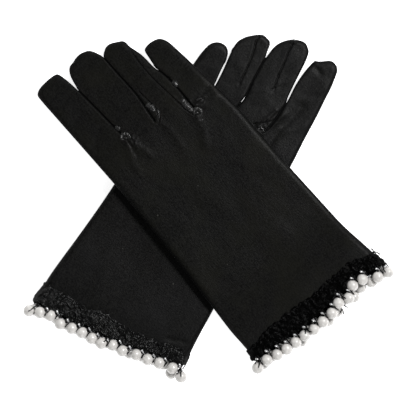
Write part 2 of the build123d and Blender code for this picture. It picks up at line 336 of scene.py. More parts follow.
# Tufts of seam allowance that stand out at the finger roots: each a run along the cloth and its thickness.
RIGHT.tufts = [
    ([(-24.9, 177.8), (-24.5, 175.6), (-24.1, 173.2)], 1.7),
    [

        [
            (-27.5, 166.0), (-27.2, 168.6), (-25.2, 170.2), (-22.9, 169.2), (-22.0, 166.6), (-23.2, 164.4),
            (-25.0, 163.6),
        ],
        1.25,
    ],
    ([(-25.6, 168.4), (-24.4, 166.6), (-24.6, 165.0)], 0.8),
    ([(-23.4, 163.6), (-22.2, 161.4), (-21.0, 159.4)], 0.5),
    ([(0.4, 175.6), (1.8, 173.0), (2.4, 170.2), (2.0, 168.0)], 2.3),
    ([(4.2, 170.6), (4.5, 168.0), (3.3, 165.0), (1.0, 162.2)], 0.55),
    ([(25.0, 176.4), (25.1, 173.4), (24.7, 171.0)], 1.8),
    ([(22.2, 163.0), (21.4, 158.6), (21.8, 154.2), (22.6, 150.6)], 2.1),
    ([(21.4, 148.4), (23.2, 151.2), (25.8, 150.6), (26.8, 148.2), (25.2, 146.2), (22.8, 146.2)], 1.3),
    ([(22.8, 149.8), (24.0, 148.6), (24.6, 147.6)], 0.8),
    ([(28.4, 155.6), (31.4, 154.9), (34.2, 153.6)], 0.4),
    ([(19.6, 144.8), (21.9, 143.6), (24.6, 142.0)], 0.5),
]
LEFT.tufts = [
    ([(-25.9, 156.9), (-25.6, 159.2), (-23.6, 159.5), (-22.5, 157.6), (-23.8, 155.9)], 0.9),
    ([(-15.8, 224.3), (-14.6, 223.2), (-13.4, 223.5)], 0.8),
]


def inside(points, loop):
    """Which points lie inside a closed loop."""
    x, y = points[:, :1], points[:, 1:]
    a, b = loop, np.roll(loop, -1, axis=0)
    crosses = (a[:, 1] > y) != (b[:, 1] > y)
    with np.errstate(divide="ignore", invalid="ignore"):
        at = a[:, 0] + (y - a[:, 1]) * (b[:, 0] - a[:, 0]) / (b[:, 1] - a[:, 1])
    return (crosses & (x < at)).sum(1) % 2 == 1


def triangulate(loop, free):
    """Triangles over a closed loop and the free points inside it."""
    free = free[inside(free, loop)]
    points = np.vstack([loop, free])
    cut = delaunay_2d_cdt([Vector(p) for p in points.tolist()], [], [list(range(len(loop)))], 1, 1e-5)
    xy, triangles = np.array([tuple(v) for v in cut[0]]), np.array(cut[2])
    used = np.unique(triangles)
    return xy[used], np.searchsorted(used, triangles)


def slot_gap(slot, xy):
    """How far each point is to the little finger's side of the line between two fingers."""
    return xy[:, 0] - np.interp(xy[:, 1], *zip(*slot))


def seam_rows(line):
    """Rows of points along a seam's line and beside it."""
    beside = right_of(np.gradient(line, axis=0))
    return [line + step * beside for step in SEAM_STEPS]


def fine_grid(glove, grid, side):
    """The grid with finer points where the cloth is crumpled."""
    for at, reach in glove.fine_spots:
        spot = grid_points((at[0] - reach, at[1] - reach), (at[0] + reach, at[1] + reach), FINE_GRID)
        spot = spot[np.hypot(*(spot - at).T) < reach]
        spot = spot[distance_to(spot, side)[0] > CLEAR]
        grid = np.vstack([grid[np.hypot(*(grid - at).T) > reach + 0.5], spot])
    return grid


def pattern(glove):
    """The glove's flat pattern cut into triangles: its points, its triangles, how far each point is from the
    side edge, how closely that edge faces another finger, and which points are at the mouth."""
    side = resample(glove.outline, OUTLINE_STEP)
    mouth = resample([side[-1], (side[-1] + side[0]) / 2, side[0]], MOUTH_STEP)[1:-1]
    inwards = right_of(np.gradient(side, axis=0))
    rows = []
    for step in EDGE_STEPS:
        every = 1 if step < 1 else 2
        row = side[::every] + step * inwards[::every]
        rows.append(row[distance_to(row, side)[0] > 0.8 * step])
    seam_lines = [resample(seam, SEAM_STEP) for seam in glove.seams]
    for line in seam_lines:
        rows += [row[distance_to(row, side)[0] > CLEAR] for row in seam_rows(line)]
    grid = grid_points((-60, -12), (60, 236), GRID)
    grid = grid[distance_to(grid, side)[0] > EDGE_STEPS[-1] + CLEAR]
    for line in seam_lines:
        grid = grid[distance_to(grid, line)[0] > SEAM_STEPS[-1] + 0.6]
    free = np.vstack(rows + [fine_grid(glove, grid, side)])
    xy, triangles = triangulate(np.vstack([side, mouth]), free[distance_to(free, mouth)[0] > 0.8])
    depth, run = distance_to(xy, side)
    near = side[run]
    slotted = []
    for slot in glove.slots:
        root = slot[0][0]
        # where two fingers lie closed together, their edges touch
        gap = slot_gap(slot, xy)
        shut = (depth < ON_EDGE) & (np.abs(gap) < SLOT_SHUT) & (xy[:, 1] > root + 0.8)
        xy[shut, 0] -= gap[shut] + SLOT_LAP * np.sign(gap[shut])
        slotted.append(np.where(near[:, 1] > root - 3, np.abs(slot_gap(slot, near)), 9))
    slotted = 1 - np.clip((np.min(slotted, axis=0) - 0.4) / 2.4, 0, 1)
    return xy, triangles, depth, slotted, distance_to(xy, mouth)[0] < ON_EDGE


def back_relief(glove, xy, depth):
    """The small heights on the back of the hand: soft wrinkles, seams and the gathers at the finger roots."""
    relief = 0.55 * wave(xy, 0, (26, 48), 3.1 + glove.side) + 0.16 * wave(xy, 0, (9, 14), 8.3)
    fingers = np.clip((xy[:, 1] - 150) / 30, 0, 1)
    relief += fingers * (0.22 * wave(xy, 0, (13, 7), 1.7) + 0.1 * wave(xy, 0, (4.5, 4), 5.5))
    for seam in glove.seams:
        gap, _ = distance_to(xy, resample(seam, SEAM_STEP))
        relief += -0.75 * np.exp(-((gap / 0.42) ** 2)) + 0.12 * np.exp(-(((gap - 1.1) / 0.7) ** 2))
    for line, width, deep in glove.creases:
        relief += across_fold(xy, line, width, deep)
    for make, *how in glove.gathers:
        relief += make(xy, *how)
    return relief * np.clip(depth / 1.9, 0, 1)


def closed_skin(glove, xy, triangles, top, low, edge):
    """A closed skin of two heights over one flat pattern, joined along its edge: points in metres, and faces
    with the upper ones first."""
    count = len(xy)
    below = np.arange(count) + np.where(edge, 0, count)
    keep = np.r_[np.ones(count, bool), ~edge]
    number = np.cumsum(keep) - 1
    points = to_table(glove, np.vstack([xy, xy]), np.r_[top, low])[keep]
    upper = triangles if glove.side > 0 else triangles[:, ::-1]
    return points, np.vstack([upper, number[below[upper[:, ::-1]]]])


def shell(glove):
    """The glove as one closed skin: points in metres, faces, and what each face belongs to."""
    xy, triangles, depth, slotted, at_mouth = pattern(glove)
    y = xy[:, 1] - glove.lift
    over, under = level(glove.over, y), level(glove.under, y)
    middle, half = (over + under) / 2, (over - under) / 2
    bulge = rounded(depth / (EDGE_SOFT - (EDGE_SOFT - SLOT_SOFT) * slotted))
    pressed = 0.35 * half * slotted * (1 - bulge)
    top = middle + half * bulge + pressed + back_relief(glove, xy, depth)
    low = middle - half * bulge + pressed
    low += np.clip(depth / 2, 0, 1) * np.maximum(0, 0.35 * wave(xy, 0, (20, 30), 12.0))
    top = np.maximum(top, low + 0.9 * np.clip(depth, 0, 1))
    points, faces = closed_skin(glove, xy, triangles, top, low, (depth < ON_EDGE) & ~at_mouth)
    centres, depths = xy[triangles].mean(1), depth[triangles].mean(1)
    owners = [face_owner(glove, *centre, deep) for centre, deep in zip(centres, depths)]
    names = [owner + end if owner.endswith("_") else owner for end in ("back", "palm") for owner in owners]
    return points, faces, np.array(names)


def face_owner(glove, x, y, depth):
    """The piece that a face of the skin belongs to, ending in _ where back or palm is still to be added."""
    gaps = [x - np.interp(y, *zip(*slot)) for slot in glove.slots]
    finger = FINGERS[sum(gap > 0 for gap in gaps)]
    if y > glove.folds[finger] + glove.lift:
        return f"{glove.name}_{finger}_tip_" + ("side" if depth < SIDE_DEEP else "")
    if depth > SIDE_DEEP:
        return f"{glove.name}_hand_"
    reach = [abs(gap) if y > slot[0][0] - 6 else 99 for gap, slot in zip(gaps, glove.slots)]
    nearest = int(np.argmin(reach))
    if reach[nearest] < 4.5:
        return f"{glove.name}_{FINGERS[nearest]}_{FINGERS[nearest + 1]}_fourchette"
    return f"{glove.name}_{'index' if x < 0 else 'little'}_side_seam"


def crumpled(glove, around=14):
    """Small twisted tufts of cloth lying on the back of the hand, as one mesh's points and faces."""
    verts, faces = [], []
    for n, (path, thick) in enumerate(glove.tufts):
        line = resample(path, 0.4)
        beside = -right_of(np.gradient(line, axis=0))
        swell = np.sqrt(np.clip(1 - (2 * np.linspace(0, 1, len(line)) - 1) ** 2, 0.002, 1))
        rest = level(glove.over, line[:, 1] - glove.lift) - 0.15 * thick
        first = len(verts)
        for p, b, w, z in zip(line, beside, swell, rest):
            for a in np.linspace(0, 2 * math.pi, around, endpoint=False):
                spot = Vector((p[0] + math.cos(a), p[1] + n, math.sin(a)))
                folds = 0.8 + 0.5 * (1 - 2.4 * abs(noise.noise(spot * 1.3))) + 0.25 * noise.noise(spot * 2.6)
                r = thick * w * folds
                verts.append((*(p + b * r * math.cos(a)), z + 0.8 * r * math.sin(a)))
        rings = [[first + k * around + j for j in range(around)] for k in range(len(line))]
        for low, high in zip(rings, rings[1:]):
            for j in range(around):
                after = (j + 1) % around
                faces.append([low[j], low[after], high[after], high[j]])
        faces += [rings[0][::-1], rings[-1]]
    if glove.side > 0:
        faces = [f[::-1] for f in faces]
    verts = np.array(verts)
    return to_table(glove, verts[:, :2], verts[:, 2]), faces


CLOTH = 0.4 * MM


def cloth_piece(name, points, faces, normals, material, thick=CLOTH):
    """One cloth panel with its thickness, cut from a larger skin whose smooth shading it keeps."""
    used = np.unique(faces)
    faces = np.searchsorted(used, faces)
    outer, n = points[used], normals[used]
    count = len(outer)
    edges = np.vstack([faces[:, [0, 1]], faces[:, [1, 2]], faces[:, [2, 0]]])
    key = np.sort(edges, axis=1)
    _, first, times = np.unique(key, axis=0, return_index=True, return_counts=True)
    rim = edges[first[times == 1]]
    walls = [(b, a, a + count, b + count) for a, b in rim]
    every = [tuple(f) for f in faces] + [tuple(f[::-1] + count) for f in faces] + walls
    obj = fresh_mesh(name, np.vstack([outer, outer - n * thick]), every, material)
    mesh = obj.data
    corner = np.zeros(len(mesh.loops), int)
    mesh.loops.foreach_get("vertex_index", corner)
    shading = np.vstack([n, -n])[corner]
    flat = 3 * 2 * len(faces)
    for k, wall in enumerate(mesh.polygons[2 * len(faces) :]):
        shading[flat + 4 * k : flat + 4 * k + 4] = wall.normal
    mesh.normals_split_custom_set(shading.tolist())
    return obj


def smooth_normals(points, faces):
    """The shading direction at each point of a skin."""
    a, b, c = (points[faces[:, k]] for k in range(3))
    face = np.cross(b - a, c - a)
    out = np.zeros_like(points)
    for k in range(3):
        np.add.at(out, faces[:, k], face)
    return out / np.maximum(np.linalg.norm(out, axis=1), 1e-12)[:, None]


# ---------------------------------------------------------------- cuffs: frill, hem tape and thumb

RIGHT.frill_top = [
    (-57.5, 2.2), (-54, 2.1), (-44, 3.4), (-32, 5.0), (-20.6, 4.5), (-8, 4.1), (2, 2.5), (16, 3.2), (27, 3.4),
    (35, 4.2), (44, 1.3), (53.9, -2.3), (57.5, -3.6),
]
RIGHT.frill_edge = [
    (-57.5, -6.1), (-41.7, -6.9), (-29.7, -8.8), (-17.4, -10.0), (-7, -10.6), (5.6, -9.6), (15.8, -8.3),
    (24.9, -6.0), (32.6, -4.4), (38.3, -8.1), (46.4, -11.3), (57.5, -14.2),
]
RIGHT.frill_folds = [
    ([(33.2, 4.8), (35.3, -2.0)], 0.7, -1.3), ([(-8.2, 3.5), (-5.1, -3.6)], 0.6, -1.1),
    ([(-22.8, -1.4), (-17.0, -7.1)], 0.7, -1.1), ([(48.3, -2.1), (53.8, -6.7)], 0.6, -0.9),
    ([(16, 3), (19, -4), (18, -8)], 0.7, -0.9), ([(25, 1), (28, -5)], 0.6, -0.8),
]
LEFT.frill_top = [
    (-57.5, 2.8), (-47, 0.8), (-33, -2.2), (-18, -4.0), (-2.7, -4.6), (9.7, -3.5), (19.7, -6.5), (32, -5.0),
    (44, -5.2), (54.7, -4.7), (57.5, -4.8),
]
LEFT.frill_edge = [
    (-57.5, -8.2), (-49, -9.9), (-37.5, -10.7), (-23, -13.1), (-8.7, -15.5), (6.4, -16.7), (17.8, -17.4),
    (33, -18.6), (45, -18.4), (57.5, -20.3),
]
LEFT.frill_folds = [
    ([(-33.9, -1.2), (-32.5, -7.9)], 0.8, -1.4), ([(-9.4, -5.6), (-8.6, -13.9)], 0.7, -1.1),
    ([(-13.9, -6.3), (-16.0, -13.0)], 0.6, -1.0), ([(35.6, -10.7), (30.6, -12.7)], 0.6, -0.9),
    ([(26.7, -7.8), (21.3, -13.9)], 0.6, -0.9), ([(4.0, -6.0), (6.5, -15.0)], 0.6, -0.8),
]
FRILL_HALF = (55.1, 56.2)  # half the frill's width at the glove and at its free edge
TAPE_HALF, TAPE_SHOWN = (53.6, 53.9), 4.0


def band(glove, top, low, half, high, deep, relief, below=0.0, tuck=0.0, around=460, across=18):
    """A flattened ring of cloth round the cuff, from its line on the glove to its free edge.

    top and low are the lines of the two edges on the back of the hand, and half the half widths there.  high
    and deep are the heights of the ring's upper and lower layer at those edges, and below is how much further
    out the lower layer's free edge lies.  relief gives the small heights of the cloth at a run round the ring
    and a share of the way across, and tuck is how far the gathers draw the edges in and out."""
    turn = np.linspace(0, 2 * math.pi, around, endpoint=False)
    share = np.linspace(0, 1, across)
    t, v = np.meshgrid(turn, share)
    wide = half[0] + (half[1] - half[0]) * v
    x = -wide * np.cos(t)
    upper = np.sin(t) >= 0
    edge = np.clip((wide - np.abs(x)) / 4.0, 0, 1)
    rims = []
    for line, longer in ((top, 0), (low, below)):
        (x0, y0), (x1, y1) = line[0], line[-1]
        flat = np.interp(x, [x0, x1], [y0, y1])
        rims.append(np.where(upper, flat + (drawn_y(line, x) - flat) * edge, flat - longer * edge))
    first, last = rims
    y = first + (last - first) * v
    spots = np.column_stack([x.ravel(), 60 * upper.ravel()])
    for share_here, size, seed in ((tuck * (1 - v), (2.6, 40), 5.0), (1.3 * tuck * v, (3.4, 40), 9.0)):
        y += share_here * wave(spots, 0.5, size, seed).reshape(x.shape) * edge
    run = np.where(upper, x, 4 * half[0] - x)
    lift = relief(np.column_stack([run.ravel(), ((last - first) * v).ravel()]), v.ravel()).reshape(v.shape)
    over, under = high[0] + (high[1] - high[0]) * v, deep[0] + (deep[1] - deep[0]) * v
    bulge = rounded((wide - np.abs(x)) / 5.5)
    z = (over + under) / 2 + np.where(upper, 1, -1) * ((over - under) / 2 + lift) * bulge
    x = x + np.sign(x) * lift * (1 - bulge)
    xyz = to_table(glove, np.column_stack([x.ravel(), y.ravel()]), np.maximum(z, 0.12).ravel())
    n = np.arange(across * around).reshape(across, around)
    a, b = n[:-1], n[1:]
    c, d = np.roll(b, -1, axis=1), np.roll(a, -1, axis=1)
    quads = np.stack([a, b, c, d], axis=-1).reshape(-1, 4)
    if glove.side < 0:
        quads = quads[:, ::-1]
    on_back = np.tile(np.arange(around) < around // 2, across - 1)
    return xyz, np.vstack([quads[:, [0, 1, 2]], quads[:, [0, 2, 3]]]), np.r_[on_back, on_back]


def frill_relief(glove):
    """The crushed pleats of a gathered strip: ridges that run across it, broken up by small crumples."""

    def heights(at, share):
        bent = at + 1.3 * np.column_stack([wave(at, 0, (6, 6), 21.0 + glove.side), wave(at, 0, (6, 6), 33.0)])
        pleats = 1 - 2.6 * np.abs(wave(bent, 0, (4.6, 13), 2.0 + glove.side))
        crumples = 1 - 2.6 * np.abs(wave(bent, 0, (4.0, 3.4), 7.5 + glove.side))
        fine = (0.2 if glove.side > 0 else 0.55) * wave(at, 0, (1.6, 1.8), 4.4)
        grown = np.interp(share, [0, 0.05, 0.16, 0.5, 1], [0.1, 0.75, 0.55, 1.0, 0.85])
        high = grown * (0.8 * pleats + 0.7 * crumples + fine)
        for line, width, deep in glove.frill_folds:
            drawn = np.column_stack([at[:, 0], drawn_y(glove.frill_top, at[:, 0]) + at[:, 1]])
            high += across_fold(drawn, line, width, deep)
        return high

    return heights


def tape_relief(at, share):
    """The fine ribs of woven tape."""
    return 0.06 * np.cos(2 * math.pi * at[:, 0] / 1.6)


def frill(glove):
    """The crushed, gathered strip that carries the fringe."""
    mouth = level(glove.over, np.array([2.0]))[0]
    return band(
        glove, glove.frill_top, glove.frill_edge, FRILL_HALF, (mouth + 0.25, 12.6), (1.5, 1.2),
        frill_relief(glove), below=4.2, tuck=1.6,
    )


def hem_tape(glove):
    """The turned tape that binds the mouth inside the frill."""
    edge = np.interp([x for x, _ in glove.frill_top], *zip(*glove.frill_edge))
    inner = [(x, y - 0.4 - 0.35 * (y - e)) for (x, y), e in zip(glove.frill_top, edge)]
    outer = [(x, y - TAPE_SHOWN) for x, y in inner]
    return band(glove, inner, outer, TAPE_HALF, (11.0, 11.3), (2.9, 2.6), tape_relief, around=300, across=6)


THUMB_PIVOT = (-37.5, 92.0)
THUMB_ROOT, THUMB_TIP, THUMB_LONG = 13.0, 10.0, 50.0
THUMB_TURN = math.radians(-32)
THUMB_THICK = 2.6


def thumb(glove, low_z):
    """The flat thumb tube, tapering to its rounded tip, as a closed skin."""
    tilt = math.asin((THUMB_ROOT - THUMB_TIP) / THUMB_LONG)
    root = np.linspace(math.pi - tilt, 2 * math.pi + tilt, 30)
    tip = np.linspace(tilt, math.pi - tilt, 24)
    loop = np.vstack([
        THUMB_ROOT * np.column_stack([np.cos(root), np.sin(root)]),
        THUMB_TIP * np.column_stack([np.cos(tip), np.sin(tip)]) + (0, THUMB_LONG),
    ])
    corners = np.vstack([loop, loop[:1]])
    side = np.vstack([
        np.linspace(a, b, max(1, round(np.linalg.norm(b - a) / 1.3)), endpoint=False)
        for a, b in zip(corners, corners[1:])
    ])
    closed = np.vstack([side, side[:1]])
    inwards = -right_of(np.roll(side, -1, axis=0) - np.roll(side, 1, axis=0))
    grid = grid_points((-14, -14), (14, 62), GRID)
    grid = grid[distance_to(grid, closed)[0] > 2.2]
    free = np.vstack([side + step * inwards for step in (0.35, 0.9, 1.6)] + [grid])
    xy, triangles = triangulate(side, free)
    depth = distance_to(xy, closed)[0]
    bulge = (THUMB_THICK / 2 - 0.1) * rounded(depth / 3.0)
    seam = -0.25 * np.exp(-(((depth - 1.6) / 0.5) ** 2))
    soft = np.clip(depth / 2, 0, 1) * (0.35 * wave(xy, 0, (7, 12), 9.1) + seam)
    middle = low_z + THUMB_THICK / 2
    top, low = middle + bulge + soft, np.maximum(middle - bulge + 0.5 * soft, 0.1)
    c, s = math.cos(THUMB_TURN), math.sin(THUMB_TURN)
    swung = np.column_stack([xy[:, 0] * c - xy[:, 1] * s, xy[:, 0] * s + xy[:, 1] * c])
    return closed_skin(glove, swung + THUMB_PIVOT + (0, glove.lift), triangles, top, low, depth < ON_EDGE)


# ---------------------------------------------------------------- small node tools

def linear(code):
    """An sRGB hex colour as linear red, green, blue and alpha."""
    values = [int(code[k : k + 2], 16) / 255 for k in (1, 3, 5)]
    return tuple(v / 12.92 if v <= 0.04045 else ((v + 0.055) / 1.055) ** 2.4 for v in values) + (1.0,)


def add(tree, kind, inputs=None, **settings):
    """A new node with its settings, and its inputs as numbers or as links from other nodes' outputs."""
    made = tree.nodes.new(kind)
    for key, value in settings.items():
        setattr(made, key, value)
    for key, value in (inputs or {}).items():
        if isinstance(value, bpy.types.NodeSocket):
            tree.links.new(value, made.inputs[key])
        else:
            made.inputs[key].default_value = value
    return made


# ---------------------------------------------------------------- materials

def material(name, **constants):
    """A material with its shader's even values set, and its tree, shader and object coordinates."""
    made = bpy.data.materials.new(name)
    made.use_nodes = True
    tree = made.node_tree
    shader = tree.nodes["Principled BSDF"]
    for key, value in constants.items():
        shader.inputs[key.replace("_", " ")].default_value = value
    place = add(tree, "ShaderNodeTexCoord").outputs["Object"]
    return made, tree, shader, place


def upward(tree):
    """How far the surface faces up: the height of its unit direction."""
    facing = add(tree, "ShaderNodeTexCoord").outputs["Normal"]
    return add(tree, "ShaderNodeSeparateXYZ", {0: facing}).outputs[2]


def surfaced(made, tree, shader, colour, rough=None, bump=None):
    """The material with its colour, roughness and bump led to its shader."""
    for socket, value in (("Base Color", colour), ("Roughness", rough), ("Normal", bump)):
        if value is not None:
            tree.links.new(value, shader.inputs[socket])
    return made


MIX = dict(kind="ShaderNodeMix", data_type="RGBA")
# pale lint specks, and the near-black painted shade for edges that turn away from straight up
LINT, EDGE_SHADE_PAINT = "#343431", "#020202"


def stretch_satin(name, turn, dark, light, tint, mottle, rough, specular, grain_high, crush=0.0):
    """Stretch satin of polyester with elastane, woven in floats and dyed black.

    The floats give a soft sheen along the hand that breaks into a fine speckle, and dye and wear leave it
    very slightly clouded.  Where the cloth rolls over at a seam and its surface turns away from straight up,
    its colour is painted near black as painted shade and its gloss is duller, and a speck of pale lint sits
    here and there.  Threads are 0.12 mm apart, drawn as a 1.1 mm speckle and 0.6 by 5 mm streaks so that
    they show.  The clouds are 24 mm across, and crushed cloth has 2.2 mm creases."""
    made, tree, shader, place = material(
        name, Specular_IOR_Level=specular, IOR=1.5, Sheen_Weight=0.02, Sheen_Roughness=0.4
    )
    along = add(tree, "ShaderNodeMapping", {"Vector": place, "Rotation": (0, 0, -turn)}).outputs[0]
    long = add(tree, "ShaderNodeMapping", {"Vector": along, "Scale": (1, 0.12, 1)}).outputs[0]

    def noisy(vector, size, detail, **more):
        given = {"Vector": vector, "Scale": 1 / size, "Detail": detail}
        return add(tree, "ShaderNodeTexNoise", {**given, **more}).outputs[0]

    speckle = noisy(along, 0.0011, 2.0, Roughness=0.8)
    streaks = noisy(long, 0.0006, 1.0)
    streaks = add(tree, "ShaderNodeMath", {0: streaks, 1: 0.25}, operation="MULTIPLY").outputs[0]
    weave = add(tree, "ShaderNodeMath", {0: speckle, 1: 0.75, 2: streaks}, operation="MULTIPLY_ADD").outputs[0]
    clouds = noisy(along, 0.024, 3.0, Roughness=0.6)
    fluff = add(tree, "ShaderNodeTexVoronoi", {"Vector": place, "Scale": 1 / 0.015}).outputs[0]
    upright = add(tree, "ShaderNodeMath", {0: upward(tree)}, operation="ABSOLUTE").outputs[0]

    def ranged(value, low, high, to_low=0.0, to_high=1.0):
        given = {"Value": value, "From Min": low, "From Max": high, "To Min": to_low, "To Max": to_high}
        return add(tree, "ShaderNodeMapRange", given).outputs[0]

    # painted shade: where the surface turns from straight up the colour goes near black and the gloss duller
    faces_up_share = ranged(upright, 0.6, 0.985)
    colour = linear(dark)
    for share, over in (
        (ranged(weave, 0.39, 0.62), light), (ranged(clouds, 0.42, 0.68, 0.0, mottle), tint),
        (ranged(fluff, 0.025, 0.045, 1.0, 0.0), LINT),
    ):
        colour = add(tree, **MIX, inputs={0: share, 6: colour, 7: linear(over)}).outputs[2]
    colour = add(tree, **MIX, inputs={0: faces_up_share, 6: linear(EDGE_SHADE_PAINT), 7: colour}).outputs[2]
    gloss = ranged(weave, 0.3, 0.7, rough + 0.1, rough - 0.06)
    matt = ranged(faces_up_share, 0.0, 1.0, 0.85, 0.0)
    dulled = add(tree, "ShaderNodeMath", {0: gloss, 1: matt}, operation="MAXIMUM").outputs[0]
    bump = add(tree, "ShaderNodeBump", {"Height": weave, "Strength": 0.35, "Distance": grain_high}).outputs[0]
    if crush:
        creases = noisy(along, 0.0022, 3.0, Distortion=0.8)
        bump = add(tree, "ShaderNodeBump", {
            "Height": creases, "Strength": 0.8, "Distance": crush, "Normal": bump,
        }).outputs[0]
    return surfaced(made, tree, shader, colour, dulled, bump)


def ridged(name, wave_size, distortion, colours, rough, strength, high, **constants):
    """Black fibre in slanting ridges, paler and smoother on top of each."""
    made, tree, shader, place = material(name, **constants)
    ridges = add(
        tree, "ShaderNodeTexWave", {"Vector": place, "Scale": 1 / wave_size, "Distortion": distortion},
        bands_direction="DIAGONAL",
    ).outputs[0]
    dark, light = map(linear, colours)
    colour = add(tree, **MIX, inputs={0: ridges, 6: dark, 7: light}).outputs[2]
    dull = add(tree, "ShaderNodeMapRange", {"Value": ridges, "To Min": rough[0], "To Max": rough[1]}).outputs[0]
    bump = add(tree, "ShaderNodeBump", {"Height": ridges, "Strength": strength, "Distance": high}).outputs[0]
    return surfaced(made, tree, shader, colour, dull, bump)


def woven_tape():
    """Narrow polyester grosgrain, dull black: its 1.2 mm ribs are drawn as bands of a few millimetres."""
    return ridged(
        "grosgrain_tape", 0.0075, 0.6, ("#0c0c0d", "#1c1c1d"), (0.85, 0.65), 0.6, 0.0002,
        Specular_IOR_Level=0.25, Sheen_Weight=0.1,
    )


def sewing_thread():
    """Black spun polyester thread, two-ply and matt: its 0.8 mm twist is drawn as bands of about 3 mm."""
    return ridged(
        "spun_thread", 0.005, 2.0, ("#010101", "#0a0a0b"), (0.9, 0.7), 0.5, 0.0001,
        Specular_IOR_Level=0.1, Sheen_Weight=0.03,
    )


def pearl_lacquer():
    """Imitation pearl: a moulded bead dipped in pearl-essence lacquer.

    The thin clear coats give a small sharp highlight over a milky body, and the dips pool a little, so the white
    is clouded warm and grey over 2 to 3 mm.  The bead's sides, where the surface turns from straight up, are
    painted a darker grey as painted shade."""
    made, tree, shader, place = material(
        "pearl_essence_lacquer", IOR=1.53, Specular_IOR_Level=0.5, Coat_Weight=0.8, Coat_Roughness=0.07,
        Coat_IOR=1.5,
    )
    pools = add(tree, "ShaderNodeTexNoise", {"Vector": place, "Scale": 1 / 0.0026, "Detail": 2.0}).outputs[0]
    flakes = add(tree, "ShaderNodeTexNoise", {"Vector": place, "Scale": 1 / 0.0007, "Detail": 1.0}).outputs[0]
    body = add(tree, **MIX, inputs={0: pools, 6: linear("#bbb9b6"), 7: linear("#e4e1dd")}).outputs[2]
    # painted shade: the bead's sides, turned away from straight up, are mixed towards a darker grey
    lit = add(
        tree, "ShaderNodeMapRange", {"Value": upward(tree), "From Min": -0.1, "From Max": 0.62},
        interpolation_type="SMOOTHSTEP",
    ).outputs[0]
    side_shaded_body = add(tree, **MIX, inputs={0: lit, 6: linear("#858381"), 7: body}).outputs[2]
    rough = add(tree, "ShaderNodeMapRange", {"Value": flakes, "To Min": 0.2, "To Max": 0.42}).outputs[0]
    bump = add(tree, "ShaderNodeBump", {"Height": pools, "Strength": 0.15, "Distance": 0.0002}).outputs[0]
    return surfaced(made, tree, shader, side_shaded_body, rough, bump)


def silvered_glass():
    """Seed beads of drawn glass, silvered inside their holes, speckled white and grey so that each bead
    sparkles, with painted shade on the sides that turn away from straight up.
    """
    made, tree, shader, place = material(
        "silver_lined_glass", Metallic=0.4, Coat_Weight=1.0, Coat_Roughness=0.03
    )
    spots = add(tree, "ShaderNodeTexNoise", {"Vector": place, "Scale": 1 / 0.0008, "Detail": 1.0}).outputs[0]
    shade = add(tree, "ShaderNodeMapRange", {"Value": spots, "From Min": 0.35, "From Max": 0.65}).outputs[0]
    glass = add(tree, **MIX, inputs={0: shade, 6: linear("#a4a5a7"), 7: linear("#ffffff")}).outputs[2]
    # painted shade: sides that turn away from straight up are mixed towards dark grey
    painted_side_shade = add(tree, "ShaderNodeMapRange", {"Value": upward(tree), "From Min": 0.1, "From Max": 0.6}).outputs[0]
    side_shaded_glass = add(tree, **MIX, inputs={0: painted_side_shade, 6: linear("#4a4b4d"), 7: glass}).outputs[2]
    rough = add(tree, "ShaderNodeMapRange", {"Value": spots, "To Min": 0.12, "To Max": 0.35}).outputs[0]
    return surfaced(made, tree, shader, side_shaded_glass, rough)


def white_table():
    """A white acrylic light table, lit from below so that shadows on it stay pale, and clouded over 60 mm."""
    made, tree, shader, place = material(
        "lit_white_acrylic", Specular_IOR_Level=0.2, Roughness=0.7, Emission_Color=(1, 1, 1, 1),
        Emission_Strength=0.85,
    )
    clouds = add(tree, "ShaderNodeTexNoise", {"Vector": place, "Scale": 1 / 0.06, "Detail": 2.0}).outputs[0]
    shade = add(tree, **MIX, inputs={0: clouds, 6: linear("#f6f6f6"), 7: linear("#fbfbfb")}).outputs[2]
    return surfaced(made, tree, shader, shade)


# ---------------------------------------------------------------- geometry trees for what repeats

def geometry_tree(name, inputs):
    """An empty geometry tree with named inputs, and its input and output nodes."""
    tree = bpy.data.node_groups.new(name, "GeometryNodeTree")
    tree.interface.new_socket("Geometry", in_out="OUTPUT", socket_type="NodeSocketGeometry")
    tree.interface.new_socket("Geometry", in_out="INPUT", socket_type="NodeSocketGeometry")
    for key, kind in inputs.items():
        tree.interface.new_socket(key, in_out="INPUT", socket_type="NodeSocket" + kind)
    return tree, tree.nodes.new("NodeGroupInput").outputs, tree.nodes.new("NodeGroupOutput").inputs


def finish_tree(tree, shapes, given, result):
    """Makes the instances real, gives them their material and sends them out."""
    real = add(tree, "GeometryNodeRealizeInstances", {0: shapes}).outputs[0]
    smooth = add(tree, "GeometryNodeSetShadeSmooth", {"Geometry": real}).outputs[0]
    coloured = add(tree, "GeometryNodeSetMaterial", {"Geometry": smooth, "Material": given["Material"]})
    tree.links.new(coloured.outputs[0], result["Geometry"])


